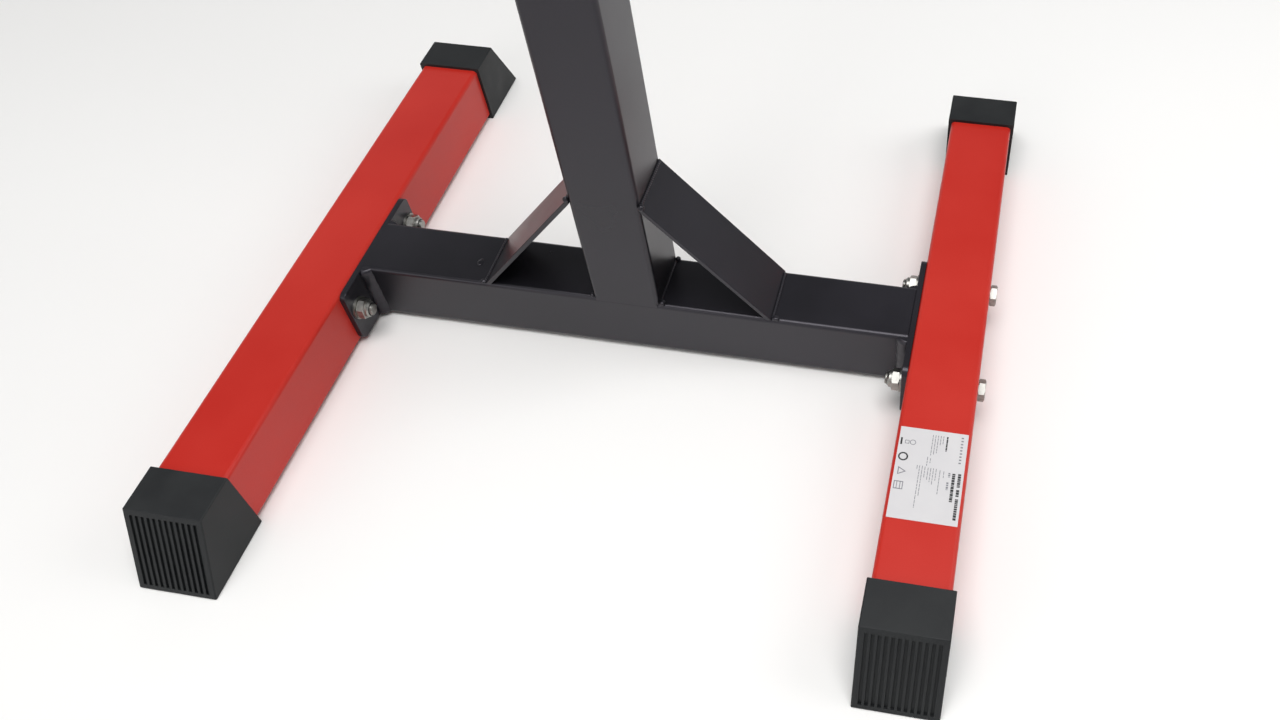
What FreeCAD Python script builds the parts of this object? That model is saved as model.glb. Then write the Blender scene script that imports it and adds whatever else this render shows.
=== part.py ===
# Adjustable barbell stand: an H-shaped base of square tube, a post, and a telescoping mast
# with a U-shaped cradle, held at its height by a spring-loaded pull pin.
#
# Frame: millimetres. X runs along the cross beam, Y along the two feet, Z up.
# The origin is on the floor, under the middle of the post.
import FreeCAD, Part
import Sketcher
import math
import os

from FreeCAD import Placement, Rotation, Vector

SIZES = {
    # Square tube of the feet, the cross beam and the post.
    "tube_side": 60,
    "tube_wall": 2,
    "tube_corner": 4,
    "foot_length": 580,
    "beam_length": 500,
    "post_length": 940,
    # Rubber caps on the ends of the feet. Their end faces lean outwards towards the floor.
    "cap_wall": 3,
    "cap_sleeve": 29,
    "cap_end_wall": 10,
    "cap_slant": 34,
    "cap_edge_radius": 1.2,
    "groove_count": 12,
    "groove_width": 2.7,
    "groove_depth": 2,
    "groove_margin": 5,
    # Plates welded to the ends of the cross beam.
    "plate_thickness": 5,
    "plate_inset": 1,
    "plate_corner": 7,
    "edge_round": 0.6,
    "plate_edge": 12,
    "bolt_offset": 25,
    "bolt_rise": 3.5,
    # Flat straps from the cross beam up to the post, seen from the side as a triangle's long edge.
    "gusset_thickness": 4,
    "gusset_reach": 101,
    "gusset_rise": 118,
    # Hexagon bolts, locking nuts and washers that hold the feet.
    "bolt_radius": 5,
    "bolt_play": 0.5,
    "bolt_tip_bevel": 1,
    "hex_flats": 17,
    "hex_bevel": 0.9,
    "head_height": 6.4,
    "nut_height": 7,
    "nut_ring_wall": 2.4,
    "nut_ring_height": 3.5,
    "nut_ring_round": 1.4,
    "thread_past_nut": 2.5,
    "washer_radius": 10.5,
    "washer_thickness": 2,
    # Rating label on the right foot.
    "label_inset": 2.8,
    "label_length": 85,
    "label_thickness": 0.2,
    "label_gap": 54,
    # Plastic guides between the post and the mast.
    "guide_gap": 3,
    "slide_play": 0.3,
    "collar_wall": 3,
    "collar_lip": 3,
    "collar_skirt": 20,
    "collar_sleeve": 40,
    "shoe_length": 40,
    "shoe_lip": 3,
    # Mast and the holes that set its height.
    "mast_wall": 2,
    "mast_corner": 3,
    "mast_exposed": 57,
    "mast_bottom_gap": 140,
    "hole_count": 13,
    "hole_pitch": 50,
    "hole_play": 0.5,
    # Cradle for the bar.
    "cradle_plate_thickness": 5,
    "cradle_thickness": 5,
    "cradle_gap": 56,
    "cradle_bend": 10,
    "cradle_tall_arm": 115,
    "cradle_short_arm": 58,
    "cradle_tip_radius": 14,
    "liner_thickness": 4,
    "liner_margin": 10,
    # Pull pin and its housing.
    "pin_drop": 60,
    "pin_radius": 5,
    "pin_play": 0.1,
    "pin_engagement": 8,
    "pin_tip_bevel": 1.2,
    "pin_travel": 12,
    "flange_thickness": 3,
    "flange_play": 0.4,
    "chamber_radius": 8,
    "housing_wall": 4,
    "housing_floor": 4,
    "spring_wire": 1.2,
    "spring_turns": 5,
    "spring_slack": 1,
    "gland_spigot": 4,
    "gland_height": 5,
    "gland_flats": 22,
    "knob_gap": 1.5,
    "knob_radius": 17,
    "knob_length": 28,
    "knob_neck_radius": 9,
    "knob_neck": 5,
    "knob_socket": 14,
    "knob_round": 4,
}

# Places that several pieces share, as expressions over the sheet called dim.
AXIS_HEIGHT = "(dim.cap_wall + dim.tube_side / 2)"
BEAM_TOP = "(dim.cap_wall + dim.tube_side)"
POST_TOP = "(dim.cap_wall + dim.tube_side + dim.post_length)"
FOOT_X = "(dim.beam_length / 2 + dim.plate_thickness + dim.tube_side / 2)"
FOOT_OUTER_X = "(dim.beam_length / 2 + dim.plate_thickness + dim.tube_side)"
BOLT_Y = "(dim.tube_side / 2 + dim.bolt_offset)"
BOLT_HEIGHT = "(dim.cap_wall + dim.tube_side / 2 + dim.bolt_rise)"
CAP_SIDE = "(dim.tube_side + 2 * dim.cap_wall)"
CAP_TOP_LENGTH = "(dim.cap_sleeve + dim.cap_end_wall)"
CAP_MOUTH_Y = "(dim.foot_length / 2 - dim.cap_sleeve)"
POST_INSIDE = "(dim.tube_side - 2 * dim.tube_wall)"
POST_INSIDE_CORNER = "(dim.tube_corner - dim.tube_wall)"
MAST_SIDE = "(dim.tube_side - 2 * dim.tube_wall - 2 * dim.guide_gap)"
MAST_TOP = "(" + POST_TOP + " + dim.collar_lip + dim.mast_exposed)"
MAST_BOTTOM = "(" + BEAM_TOP + " + dim.mast_bottom_gap)"
PIN_HEIGHT = "(" + POST_TOP + " - dim.pin_drop)"
PIN_BORE = "(dim.pin_radius + dim.pin_play)"
FLANGE_RADIUS = "(dim.chamber_radius - dim.flange_play)"
HOUSING_RADIUS = "(dim.chamber_radius + dim.housing_wall)"
SPRING_SPACE = "(dim.pin_travel + dim.spring_wire * (dim.spring_turns + 1) + dim.spring_slack)"
FLANGE_TOP = "(dim.housing_floor + dim.flange_thickness)"
HOUSING_LENGTH = "(" + FLANGE_TOP + " + " + SPRING_SPACE + " + dim.gland_spigot)"
KNOB_START = "(" + HOUSING_LENGTH + " + dim.gland_height + dim.knob_gap)"

# Turns that lay a piece's own Z axis along the axis named.
UPRIGHT = Rotation()
HALF_TURN = Rotation(Vector(0, 0, 1), 180)
Z_TO_PLUS_X = Rotation(Vector(0, 1, 0), 90)
Z_TO_MINUS_X = Rotation(Vector(0, 1, 0), -90)
Z_TO_MINUS_Y = Rotation(Vector(1, 0, 0), 90)
# Turn that lays a plate's length along Y, its height along Z and its thickness along X.
PLATE_TURN = Rotation(Vector(1, 1, 1), 120)

# Two places nearer than this are the same place, when an edge is looked for.
TOUCH = 0.01

DOC = FreeCAD.newDocument("barbell_stand")
SHEET = DOC.addObject("Spreadsheet::Sheet", "dim")
PARTS = []


def fill_sheet():
    """Write every driving size into the sheet, with its name beside it."""
    for row, (name, size) in enumerate(SIZES.items(), start=1):
        SHEET.set(f"A{row}", name)
        SHEET.set(f"B{row}", str(size))
        SHEET.setAlias(f"B{row}", name)
    DOC.recompute()


def number(expression):
    """Value of an expression over the sheet."""
    result = SHEET.evalExpression(expression)
    return getattr(result, "Value", result)


# ---- Shared modelling steps ----------------------------------------------------------------------


def place(piece, x="0", y="0", z="0", turn=UPRIGHT):
    """Put a piece where the three expressions say, turned as given."""
    piece.Placement = Placement(Vector(number(x), number(y), number(z)), turn)
    for axis, expression in (("x", x), ("y", y), ("z", z)):
        piece.setExpression(f"Placement.Base.{axis}", expression)


def new_body(label):
    body = DOC.addObject("PartDesign::Body", label)
    body.Label = label
    return body


def new_sketch(body, name, role):
    """Sketch on one of the body's own origin planes."""
    sketch = body.newObject("Sketcher::SketchObject", name)
    plane = next(item for item in body.Origin.OriginFeatures if item.Role == role)
    sketch.AttachmentSupport = (plane, [""])
    sketch.MapMode = "FlatFace"
    return sketch


def dimension(sketch, kind, places, expression, name):
    """Add a driving dimension and tie it to the sheet."""
    index = sketch.addConstraint(Sketcher.Constraint(kind, *places, number(expression)))
    sketch.renameConstraint(index, name)
    sketch.setExpression(f"Constraints.{name}", expression)


def fix_point(sketch, geometry, corner, x, y, name):
    """Hold one point of a sketch at two distances from its origin; "0" puts it on the axis."""
    if x == "0":
        sketch.addConstraint(Sketcher.Constraint("PointOnObject", geometry, corner, -2))
    else:
        dimension(sketch, "DistanceX", (-1, 1, geometry, corner), x, name + "_x")
    if y == "0":
        sketch.addConstraint(Sketcher.Constraint("PointOnObject", geometry, corner, -1))
    else:
        dimension(sketch, "DistanceY", (-1, 1, geometry, corner), y, name + "_y")


def draw_circle(sketch, x, y, radius, name):
    centre = Vector(number(x), number(y), 0)
    index = sketch.addGeometry(Part.Circle(centre, Vector(0, 0, 1), number(radius)), False)
    fix_point(sketch, index, 3, x, y, name)
    dimension(sketch, "Radius", (index,), radius, name + "_radius")


def draw_polygon(sketch, outline):
    """Closed outline through corners given as pairs of expressions."""
    corners = [Vector(number(x), number(y), 0) for x, y in outline]
    count = len(corners)
    lines = []
    for index, corner in enumerate(corners):
        following = corners[(index + 1) % count]
        lines.append(sketch.addGeometry(Part.LineSegment(corner, following), False))
    for index, line in enumerate(lines):
        following = lines[(index + 1) % count]
        sketch.addConstraint(Sketcher.Constraint("Coincident", line, 2, following, 1))
    for index, (x, y) in enumerate(outline):
        fix_point(sketch, lines[index], 1, x, y, f"corner_{index}")


def draw_rounded_rectangle(sketch, width, height, radius, name):
    """Rectangle with rounded corners, centred on the sketch's origin."""
    half_width = number(width) / 2
    half_height = number(height) / 2
    round_radius = number(radius)
    inner_x = half_width - round_radius
    inner_y = half_height - round_radius
    arcs = []
    for index, (x, y) in enumerate(((1, 1), (-1, 1), (-1, -1), (1, -1))):
        circle = Part.Circle(Vector(x * inner_x, y * inner_y, 0), Vector(0, 0, 1), round_radius)
        start = index * math.pi / 2
        arcs.append(sketch.addGeometry(Part.ArcOfCircle(circle, start, start + math.pi / 2), False))
    ends = [
        (Vector(inner_x, half_height, 0), Vector(-inner_x, half_height, 0)),
        (Vector(-half_width, inner_y, 0), Vector(-half_width, -inner_y, 0)),
        (Vector(-inner_x, -half_height, 0), Vector(inner_x, -half_height, 0)),
        (Vector(half_width, -inner_y, 0), Vector(half_width, inner_y, 0)),
    ]
    lines = [sketch.addGeometry(Part.LineSegment(*pair), False) for pair in ends]
    for index, line in enumerate(lines):
        following = arcs[(index + 1) % 4]
        sketch.addConstraint(Sketcher.Constraint("Tangent", arcs[index], 2, line, 1))
        sketch.addConstraint(Sketcher.Constraint("Tangent", line, 2, following, 1))
        direction = "Vertical" if index % 2 else "Horizontal"
        sketch.addConstraint(Sketcher.Constraint(direction, line))
    for arc in arcs[1:]:
        sketch.addConstraint(Sketcher.Constraint("Equal", arcs[0], arc))
    sketch.addConstraint(Sketcher.Constraint("Symmetric", lines[0], 1, lines[2], 1, -1, 1))
    dimension(sketch, "DistanceX", (lines[1], 1, lines[3], 1), width, name + "_width")
    dimension(sketch, "DistanceY", (lines[2], 1, lines[0], 1), height, name + "_height")
    dimension(sketch, "Radius", (arcs[0],), radius, name + "_radius")


def add_pad(body, sketch, length, symmetric=False, downwards=False):
    pad = body.newObject("PartDesign::Pad", sketch.Name + "_pad")
    pad.Profile = sketch
    pad.setExpression("Length", length)
    pad.SideType = "Symmetric" if symmetric else "One side"
    pad.Reversed = downwards
    return pad


def cut_through(body, sketch, both_sides=True, towards_normal=False):
    """Cut the sketch's outline through the body, both ways or one way only."""
    pocket = body.newObject("PartDesign::Pocket", sketch.Name + "_cut")
    pocket.Profile = sketch
    pocket.Type = "ThroughAll"
    pocket.SideType = "Symmetric" if both_sides else "One side"
    pocket.Reversed = towards_normal
    return pocket


def cut_to_depth(body, sketch, depth, towards_normal=False):
    pocket = body.newObject("PartDesign::Pocket", sketch.Name + "_cut")
    pocket.Profile = sketch
    pocket.setExpression("Length", depth)
    pocket.Reversed = towards_normal
    return pocket


def repeat_along(body, feature, sketch, axis, count, length):
    """Repeat a feature at even steps along one axis of a sketch."""
    pattern = body.newObject("PartDesign::LinearPattern", feature.Name + "_row")
    pattern.Originals = [feature]
    pattern.Direction = (sketch, [axis])
    pattern.setExpression("Length", length)
    pattern.setExpression("Occurrences", count)
    body.Tip = pattern
    return pattern


def round_edges(body, feature, radius, wanted):
    """Round the edges of a feature that the test picks out."""
    DOC.recompute()
    names = []
    for index, edge in enumerate(feature.Shape.Edges, start=1):
        if wanted(edge):
            names.append(f"Edge{index}")
    fillet = body.newObject("PartDesign::Fillet", feature.Name + "_round")
    fillet.Base = (feature, names)
    fillet.setExpression("Radius", radius)
    return fillet


def square_tube(label, role, side, wall, corner, length, symmetric=True):
    """Square tube whose axis is the normal of the plane named by role."""
    body = new_body(label)
    section = new_sketch(body, label + "_section", role)
    draw_rounded_rectangle(section, side, side, corner, "outer")
    inner_side = f"{side} - 2 * {wall}"
    draw_rounded_rectangle(section, inner_side, inner_side, f"{corner} - {wall}", "inner")
    add_pad(body, section, length, symmetric)
    return body


def turned_body(label, outline):
    """Body of revolution about its own Z axis, from corners given as radius and height."""
    body = new_body(label)
    profile = new_sketch(body, label + "_profile", "XZ_Plane")
    draw_polygon(profile, outline)
    turned = body.newObject("PartDesign::Revolution", label + "_turned")
    turned.Profile = profile
    turned.ReferenceAxis = (profile, ["V_Axis"])
    turned.Angle = 360
    return body


def hexagon_piece(label, outline, flats, low, high):
    """Turned piece trimmed by a hexagon as wide as flats, between two heights."""
    prism = DOC.addObject("Part::Prism", label + "_hexagon")
    prism.Polygon = 6
    prism.setExpression("Circumradius", f"{flats} / sqrt(3)")
    prism.setExpression("Height", f"{high} - {low}")
    place(prism, z=low)
    piece = DOC.addObject("Part::Common", label)
    piece.Label = label
    piece.Base = turned_body(label + "_blank", outline)
    piece.Tool = prism
    return piece


def ring_pad(body, name, side, corner, hole_side, hole_corner, length, downwards):
    """Square ring on the body's XY plane, padded up or down."""
    section = new_sketch(body, name, "XY_Plane")
    draw_rounded_rectangle(section, side, side, corner, "outer")
    draw_rounded_rectangle(section, hole_side, hole_side, hole_corner, "inner")
    add_pad(body, section, length, downwards=downwards)


def bevelled_hexagon(inner_radius, low, high, flats):
    """Outline, as radius and height, of a hexagon's envelope with both rims bevelled."""
    rim = f"({flats} / 2 - dim.hex_bevel / 2)"
    corner = f"({flats} / sqrt(3))"
    return [
        (inner_radius, low),
        (rim, low),
        (corner, f"({low} + dim.hex_bevel)"),
        (corner, f"({high} - dim.hex_bevel)"),
        (rim, high),
    ]


# ---- Base ----------------------------------------------------------------------------------------


def foot_tube(side_name, side_sign):
    """Red foot with two bolt holes through its sides."""
    body = square_tube(
        side_name + "_foot_tube", "XZ_Plane", "dim.tube_side", "dim.tube_wall",
        "dim.tube_corner", "dim.foot_length",
    )
    holes = new_sketch(body, side_name + "_foot_bolt_holes", "YZ_Plane")
    hole_radius = "dim.bolt_radius + dim.bolt_play"
    draw_circle(holes, BOLT_Y, "dim.bolt_rise", hole_radius, "rear")
    draw_circle(holes, "-" + BOLT_Y, "dim.bolt_rise", hole_radius, "front")
    cut_through(body, holes)
    place(body, x=f"{side_sign} * {FOOT_X}", z=AXIS_HEIGHT)
    PARTS.append(body)


def foot_cap(side_name, side_sign, end_name, end_sign):
    """Rubber cap: a sleeve over the foot's end, with a leaning end face full of grooves."""
    label = f"{side_name}_{end_name}_cap"
    body = new_body(label)
    half = f"({CAP_SIDE} / 2)"
    profile = new_sketch(body, label + "_profile", "YZ_Plane")
    draw_polygon(profile, [
        ("0", f"-{half}"),
        (f"{CAP_TOP_LENGTH} + dim.cap_slant", f"-{half}"),
        (CAP_TOP_LENGTH, half),
        ("0", half),
    ])
    block = add_pad(body, profile, CAP_SIDE, symmetric=True)
    round_edges(body, block, "dim.cap_edge_radius", lambda edge: edge.BoundBox.YMax > TOUCH)

    socket = new_sketch(body, label + "_socket", "XZ_Plane")
    draw_rounded_rectangle(socket, "dim.tube_side", "dim.tube_side", "dim.tube_corner", "socket")
    cut_to_depth(body, socket, "dim.cap_sleeve")

    # The first groove, drawn on the leaning face, and the row that it starts. The offset's
    # turn is about X, and the expression then drives its angle.
    groove = new_sketch(body, label + "_groove", "XZ_Plane")
    groove.AttachmentOffset = Placement(Vector(), Rotation(Vector(1, 0, 0), 1))
    groove.setExpression("AttachmentOffset.Base.z", f"-({CAP_TOP_LENGTH} + dim.cap_slant / 2)")
    groove.setExpression("AttachmentOffset.Rotation.Angle", f"atan(dim.cap_slant / {CAP_SIDE})")
    face_length = f"sqrt({CAP_SIDE} ^ 2 + dim.cap_slant ^ 2)"
    top = f"({face_length} / 2 - dim.groove_margin)"
    left = f"({CAP_SIDE} / 2 - dim.groove_margin)"
    draw_polygon(groove, [
        (f"-{left}", f"-{top}"),
        (f"dim.groove_width - {left}", f"-{top}"),
        (f"dim.groove_width - {left}", top),
        (f"-{left}", top),
    ])
    first = cut_to_depth(body, groove, "dim.groove_depth", towards_normal=True)
    row_length = f"2 * {left} - dim.groove_width"
    repeat_along(body, first, groove, "H_Axis", "dim.groove_count", row_length)

    turn = UPRIGHT if end_sign > 0 else HALF_TURN
    place(body, f"{side_sign} * {FOOT_X}", f"{end_sign} * {CAP_MOUTH_Y}", AXIS_HEIGHT, turn)
    PARTS.append(body)


def cross_beam():
    body = square_tube(
        "cross_beam", "YZ_Plane", "dim.tube_side", "dim.tube_wall", "dim.tube_corner",
        "dim.beam_length",
    )
    place(body, z=AXIS_HEIGHT)
    PARTS.append(body)


def mounting_plate(side_name, side_sign):
    """Plate on the cross beam's end, with a bolt hole on each side of the beam."""
    label = side_name + "_mounting_plate"
    body = new_body(label)
    outline = new_sketch(body, label + "_outline", "XY_Plane")
    length = f"2 * ({BOLT_Y} + dim.plate_edge)"
    height = "dim.tube_side - 2 * dim.plate_inset"
    draw_rounded_rectangle(outline, length, height, "dim.plate_corner", "plate")
    hole_radius = "dim.bolt_radius + dim.bolt_play"
    draw_circle(outline, BOLT_Y, "dim.bolt_rise", hole_radius, "rear")
    draw_circle(outline, "-" + BOLT_Y, "dim.bolt_rise", hole_radius, "front")
    plate = add_pad(body, outline, "dim.plate_thickness", symmetric=True)
    inner_face = side_sign * number("dim.plate_thickness") / -2

    def is_inner_rim(edge):
        box = edge.BoundBox
        return abs(box.ZMin - inner_face) < TOUCH and box.ZLength < TOUCH

    round_edges(body, plate, "dim.edge_round", is_inner_rim)
    middle = f"{side_sign} * (dim.beam_length / 2 + dim.plate_thickness / 2)"
    place(body, x=middle, z=AXIS_HEIGHT, turn=PLATE_TURN)
    PARTS.append(body)


def post_tube():
    """Upright tube, open at its top, with the pull pin's hole in its front wall."""
    body = square_tube(
        "post_tube", "XY_Plane", "dim.tube_side", "dim.tube_wall", "dim.tube_corner",
        "dim.post_length", symmetric=False,
    )
    hole = new_sketch(body, "post_pin_hole", "XZ_Plane")
    draw_circle(hole, "0", "dim.post_length - dim.pin_drop", "dim.pin_radius + dim.hole_play", "pin")
    cut_through(body, hole, both_sides=False, towards_normal=True)
    place(body, z=BEAM_TOP)
    PARTS.append(body)


def is_long_slanted_edge(edge):
    """True for the four edges along a strap's length."""
    return edge.BoundBox.ZLength > TOUCH and edge.BoundBox.XLength > TOUCH


def gusset_strap(side_name, side_sign):
    """Flat strap from the beam's top to the post's side; both ends are cut to lie flush."""
    label = side_name + "_gusset_strap"
    body = new_body(label)
    slope = "sqrt(dim.gusset_reach ^ 2 + dim.gusset_rise ^ 2)"
    foot_width = f"dim.gusset_thickness * {slope} / dim.gusset_rise"
    head_height = f"dim.gusset_thickness * {slope} / dim.gusset_reach"
    profile = new_sketch(body, label + "_profile", "XZ_Plane")
    draw_polygon(profile, [
        ("dim.gusset_reach", "0"),
        ("0", "dim.gusset_rise"),
        ("0", f"dim.gusset_rise - {head_height}"),
        (f"dim.gusset_reach - {foot_width}", "0"),
    ])
    strap = add_pad(body, profile, "dim.tube_side", symmetric=True)
    round_edges(body, strap, "dim.edge_round", is_long_slanted_edge)
    turn = UPRIGHT if side_sign > 0 else HALF_TURN
    place(body, x=f"{side_sign} * dim.tube_side / 2", z=BEAM_TOP, turn=turn)
    PARTS.append(body)


def bolt(label):
    """Hexagon bolt: the head stands on Z = 0 and the shank reaches down."""
    shank = (
        "(dim.tube_side + dim.plate_thickness + dim.washer_thickness + dim.nut_height"
        " + dim.nut_ring_height + dim.thread_past_nut)"
    )
    outline = bevelled_hexagon("dim.bolt_radius", "0", "dim.head_height", "dim.hex_flats") + [
        ("0", "dim.head_height"),
        ("0", f"-{shank}"),
        ("dim.bolt_radius - dim.bolt_tip_bevel", f"-{shank}"),
        ("dim.bolt_radius", f"dim.bolt_tip_bevel - {shank}"),
    ]
    return hexagon_piece(label, outline, "dim.hex_flats", f"-{shank}", "dim.head_height")


def nut(label):
    """Locking nut: a hexagon on Z = 0 with a round ring on top."""
    ring_top = "(dim.nut_height + dim.nut_ring_height)"
    ring_radius = "(dim.bolt_radius + dim.nut_ring_wall)"
    outline = bevelled_hexagon("dim.bolt_radius", "0", "dim.nut_height", "dim.hex_flats") + [
        (ring_radius, "dim.nut_height"),
        (ring_radius, f"{ring_top} - dim.nut_ring_round"),
        (f"{ring_radius} - dim.nut_ring_round", ring_top),
        ("dim.bolt_radius", ring_top),
    ]
    return hexagon_piece(label, outline, "dim.hex_flats", "0", ring_top)


def washer(label):
    """Flat washer standing on Z = 0."""
    return turned_body(label, [
        ("dim.bolt_radius + dim.bolt_play", "0"),
        ("dim.washer_radius", "0"),
        ("dim.washer_radius", "dim.washer_thickness"),
        ("dim.bolt_radius + dim.bolt_play", "dim.washer_thickness"),
    ])


def fastener_pair(label, make_piece, x, turn):
    """Two equal fasteners, one on each side of the beam, kept as one group."""
    pieces = []
    for end_name, end_sign in (("front", -1), ("rear", 1)):
        piece = make_piece(f"{label}_{end_name}")
        place(piece, x, f"{end_sign} * {BOLT_Y}", BOLT_HEIGHT, turn)
        pieces.append(piece)
    group = DOC.addObject("Part::Compound", label)
    group.Label = label
    group.Links = pieces
    PARTS.append(group)


def foot_fasteners(side_name, side_sign):
    """Bolts through the foot from outside, with washers and nuts on the plate's inner face."""
    outwards = Z_TO_PLUS_X if side_sign > 0 else Z_TO_MINUS_X
    inwards = Z_TO_MINUS_X if side_sign > 0 else Z_TO_PLUS_X
    plate_face = "dim.beam_length / 2"
    nut_face = f"({plate_face} - dim.washer_thickness)"
    fastener_pair(side_name + "_foot_bolts", bolt, f"{side_sign} * {FOOT_OUTER_X}", outwards)
    fastener_pair(side_name + "_foot_washers", washer, f"{side_sign} * {plate_face}", inwards)
    fastener_pair(side_name + "_foot_nuts", nut, f"{side_sign} * {nut_face}", inwards)


def rating_label():
    """Thin sticker on top of the right foot, between the front cap and the plate."""
    sticker = DOC.addObject("Part::Box", "rating_label")
    width = "(dim.tube_side - 2 * dim.label_inset)"
    sticker.setExpression("Length", width)
    sticker.setExpression("Width", "dim.label_length")
    sticker.setExpression("Height", "dim.label_thickness")
    place(sticker, x=f"{FOOT_X} - {width} / 2", y=f"dim.label_gap - {CAP_MOUTH_Y}", z=BEAM_TOP)
    PARTS.append(sticker)


def post_guide_collar():
    """Plastic collar on the post's top: a lip, a skirt outside and a sleeve inside the tube."""
    body = new_body("post_guide_collar")
    outside = "dim.tube_side + 2 * dim.collar_wall"
    outside_corner = "dim.tube_corner + dim.collar_wall"
    bore = f"{MAST_SIDE} + 2 * dim.slide_play"
    bore_corner = "dim.mast_corner + dim.slide_play"
    ring_pad(body, "collar_lip_ring", outside, outside_corner, bore, bore_corner,
             "dim.collar_lip", downwards=False)
    ring_pad(body, "collar_skirt_ring", outside, outside_corner, "dim.tube_side",
             "dim.tube_corner", "dim.collar_skirt", downwards=True)
    ring_pad(body, "collar_sleeve_ring", POST_INSIDE, POST_INSIDE_CORNER, bore, bore_corner,
             "dim.collar_sleeve", downwards=True)
    place(body, z=POST_TOP)
    PARTS.append(body)


# ---- Mast and cradle -----------------------------------------------------------------------------


def mast_tube():
    """Inner tube with a row of holes through its front and back walls."""
    length = f"{MAST_TOP} - {MAST_BOTTOM}"
    body = square_tube(
        "mast_tube", "XY_Plane", MAST_SIDE, "dim.mast_wall", "dim.mast_corner", length,
        symmetric=False,
    )
    hole = new_sketch(body, "mast_height_hole", "XZ_Plane")
    top_hole = f"{PIN_HEIGHT} - {MAST_BOTTOM}"
    lowest = f"{top_hole} - dim.hole_pitch * (dim.hole_count - 1)"
    draw_circle(hole, "0", lowest, "dim.pin_radius + dim.hole_play", "lowest")
    first = cut_through(body, hole)
    row_length = "dim.hole_pitch * (dim.hole_count - 1)"
    repeat_along(body, first, hole, "V_Axis", "dim.hole_count", row_length)
    place(body, z=MAST_BOTTOM)
    PARTS.append(body)


def mast_guide_shoe():
    """Plastic shoe round the mast's foot, sliding on the post's inner walls."""
    body = new_body("mast_guide_shoe")
    outside = f"{POST_INSIDE} - 2 * dim.slide_play"
    ring_pad(body, "shoe_sleeve_ring", outside, POST_INSIDE_CORNER, MAST_SIDE,
             "dim.mast_corner", "dim.shoe_length", downwards=False)
    ring_pad(body, "shoe_lip_ring", outside, POST_INSIDE_CORNER,
             f"{MAST_SIDE} - 2 * dim.mast_wall", "dim.mast_corner - dim.mast_wall",
             "dim.shoe_lip", downwards=True)
    place(body, z=MAST_BOTTOM)
    PARTS.append(body)


def cradle_base_plate():
    """Plate welded on the mast's top, as wide as the post."""
    body = new_body("cradle_base_plate")
    outline = new_sketch(body, "cradle_base_outline", "XY_Plane")
    draw_rounded_rectangle(outline, "dim.tube_side", "dim.tube_side", "dim.tube_corner", "plate")
    add_pad(body, outline, "dim.cradle_plate_thickness")
    place(body, z=MAST_TOP)
    PARTS.append(body)


def bent_channel(label, gap, thickness, bend, left_arm, right_arm, width):
    """U-shaped strip, open upwards: arm heights are measured from the underside."""
    body = new_body(label)
    outer_x = f"({gap} / 2 + {thickness})"
    block = new_sketch(body, label + "_block", "XZ_Plane")
    draw_polygon(block, [
        (f"-{outer_x}", "0"),
        (outer_x, "0"),
        (outer_x, right_arm),
        ("0", right_arm),
        ("0", left_arm),
        (f"-{outer_x}", left_arm),
    ])
    solid = add_pad(body, block, width, symmetric=True)
    bent = round_edges(body, solid, f"{bend} + {thickness}", is_lower_side_edge)
    slot = new_sketch(body, label + "_slot", "XZ_Plane")
    draw_polygon(slot, [
        (f"-{gap} / 2", thickness),
        (f"{gap} / 2", thickness),
        (f"{gap} / 2", f"{left_arm} + {thickness}"),
        (f"-{gap} / 2", f"{left_arm} + {thickness}"),
    ])
    opened = cut_through(body, slot)
    DOC.recompute()
    if opened.Shape.Volume >= bent.Shape.Volume:
        raise RuntimeError(label + ": the slot cuts nothing")
    return body, opened


def is_lower_side_edge(edge):
    """True for the two edges along Y where a block's sides meet its underside."""
    box = edge.BoundBox
    return box.ZMax < TOUCH and box.XLength < TOUCH


def round_slot(body, opened, thickness, bend):
    """Round the two inner corners at the bottom of a channel's slot."""
    level = number(thickness)

    def is_slot_corner(edge):
        box = edge.BoundBox
        return abs(box.ZMin - level) < TOUCH and box.ZLength < TOUCH and box.XLength < TOUCH

    return round_edges(body, opened, bend, is_slot_corner)


def round_arm_tips(body, feature, radius, arms):
    """Round the corners of a channel's arms, as seen from the side."""
    heights = [number(arm) for arm in arms]

    def is_tip_edge(edge):
        box = edge.BoundBox
        at_tip = any(abs(box.ZMin - height) < TOUCH for height in heights)
        return at_tip and box.ZLength < TOUCH and box.YLength < TOUCH

    return round_edges(body, feature, radius, is_tip_edge)


def cradle():
    """Bent steel U that holds the bar; one arm is taller to stop a bar pushed against it."""
    arms = ("dim.cradle_tall_arm", "dim.cradle_short_arm")
    body, opened = bent_channel(
        "cradle", "dim.cradle_gap", "dim.cradle_thickness", "dim.cradle_bend", *arms,
        "dim.tube_side",
    )
    hollow = round_slot(body, opened, "dim.cradle_thickness", "dim.cradle_bend")
    round_arm_tips(body, hollow, "dim.cradle_tip_radius", arms)
    place(body, z=f"{MAST_TOP} + dim.cradle_plate_thickness")
    PARTS.append(body)


def cradle_liner():
    """Plastic liner lying in the cradle, lower than the arms all round."""
    arms = tuple(
        f"({arm} - dim.cradle_thickness - dim.liner_margin)"
        for arm in ("dim.cradle_tall_arm", "dim.cradle_short_arm")
    )
    body, opened = bent_channel(
        "cradle_liner", "(dim.cradle_gap - 2 * dim.liner_thickness)", "dim.liner_thickness",
        "(dim.cradle_bend - dim.liner_thickness)", *arms, "dim.tube_side",
    )
    bend = "(dim.cradle_bend - dim.liner_thickness)"
    hollow = round_slot(body, opened, "dim.liner_thickness", bend)
    round_arm_tips(body, hollow, "dim.cradle_tip_radius", arms)
    place(body, z=f"{MAST_TOP} + dim.cradle_plate_thickness + dim.cradle_thickness")
    PARTS.append(body)


# ---- Pull pin ------------------------------------------------------------------------------------


def place_on_pin_axis(piece):
    """Lay a piece's Z axis along the pin, with Z = 0 on the post's front face."""
    place(piece, y="-dim.tube_side / 2", z=PIN_HEIGHT, turn=Z_TO_MINUS_Y)


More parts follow.
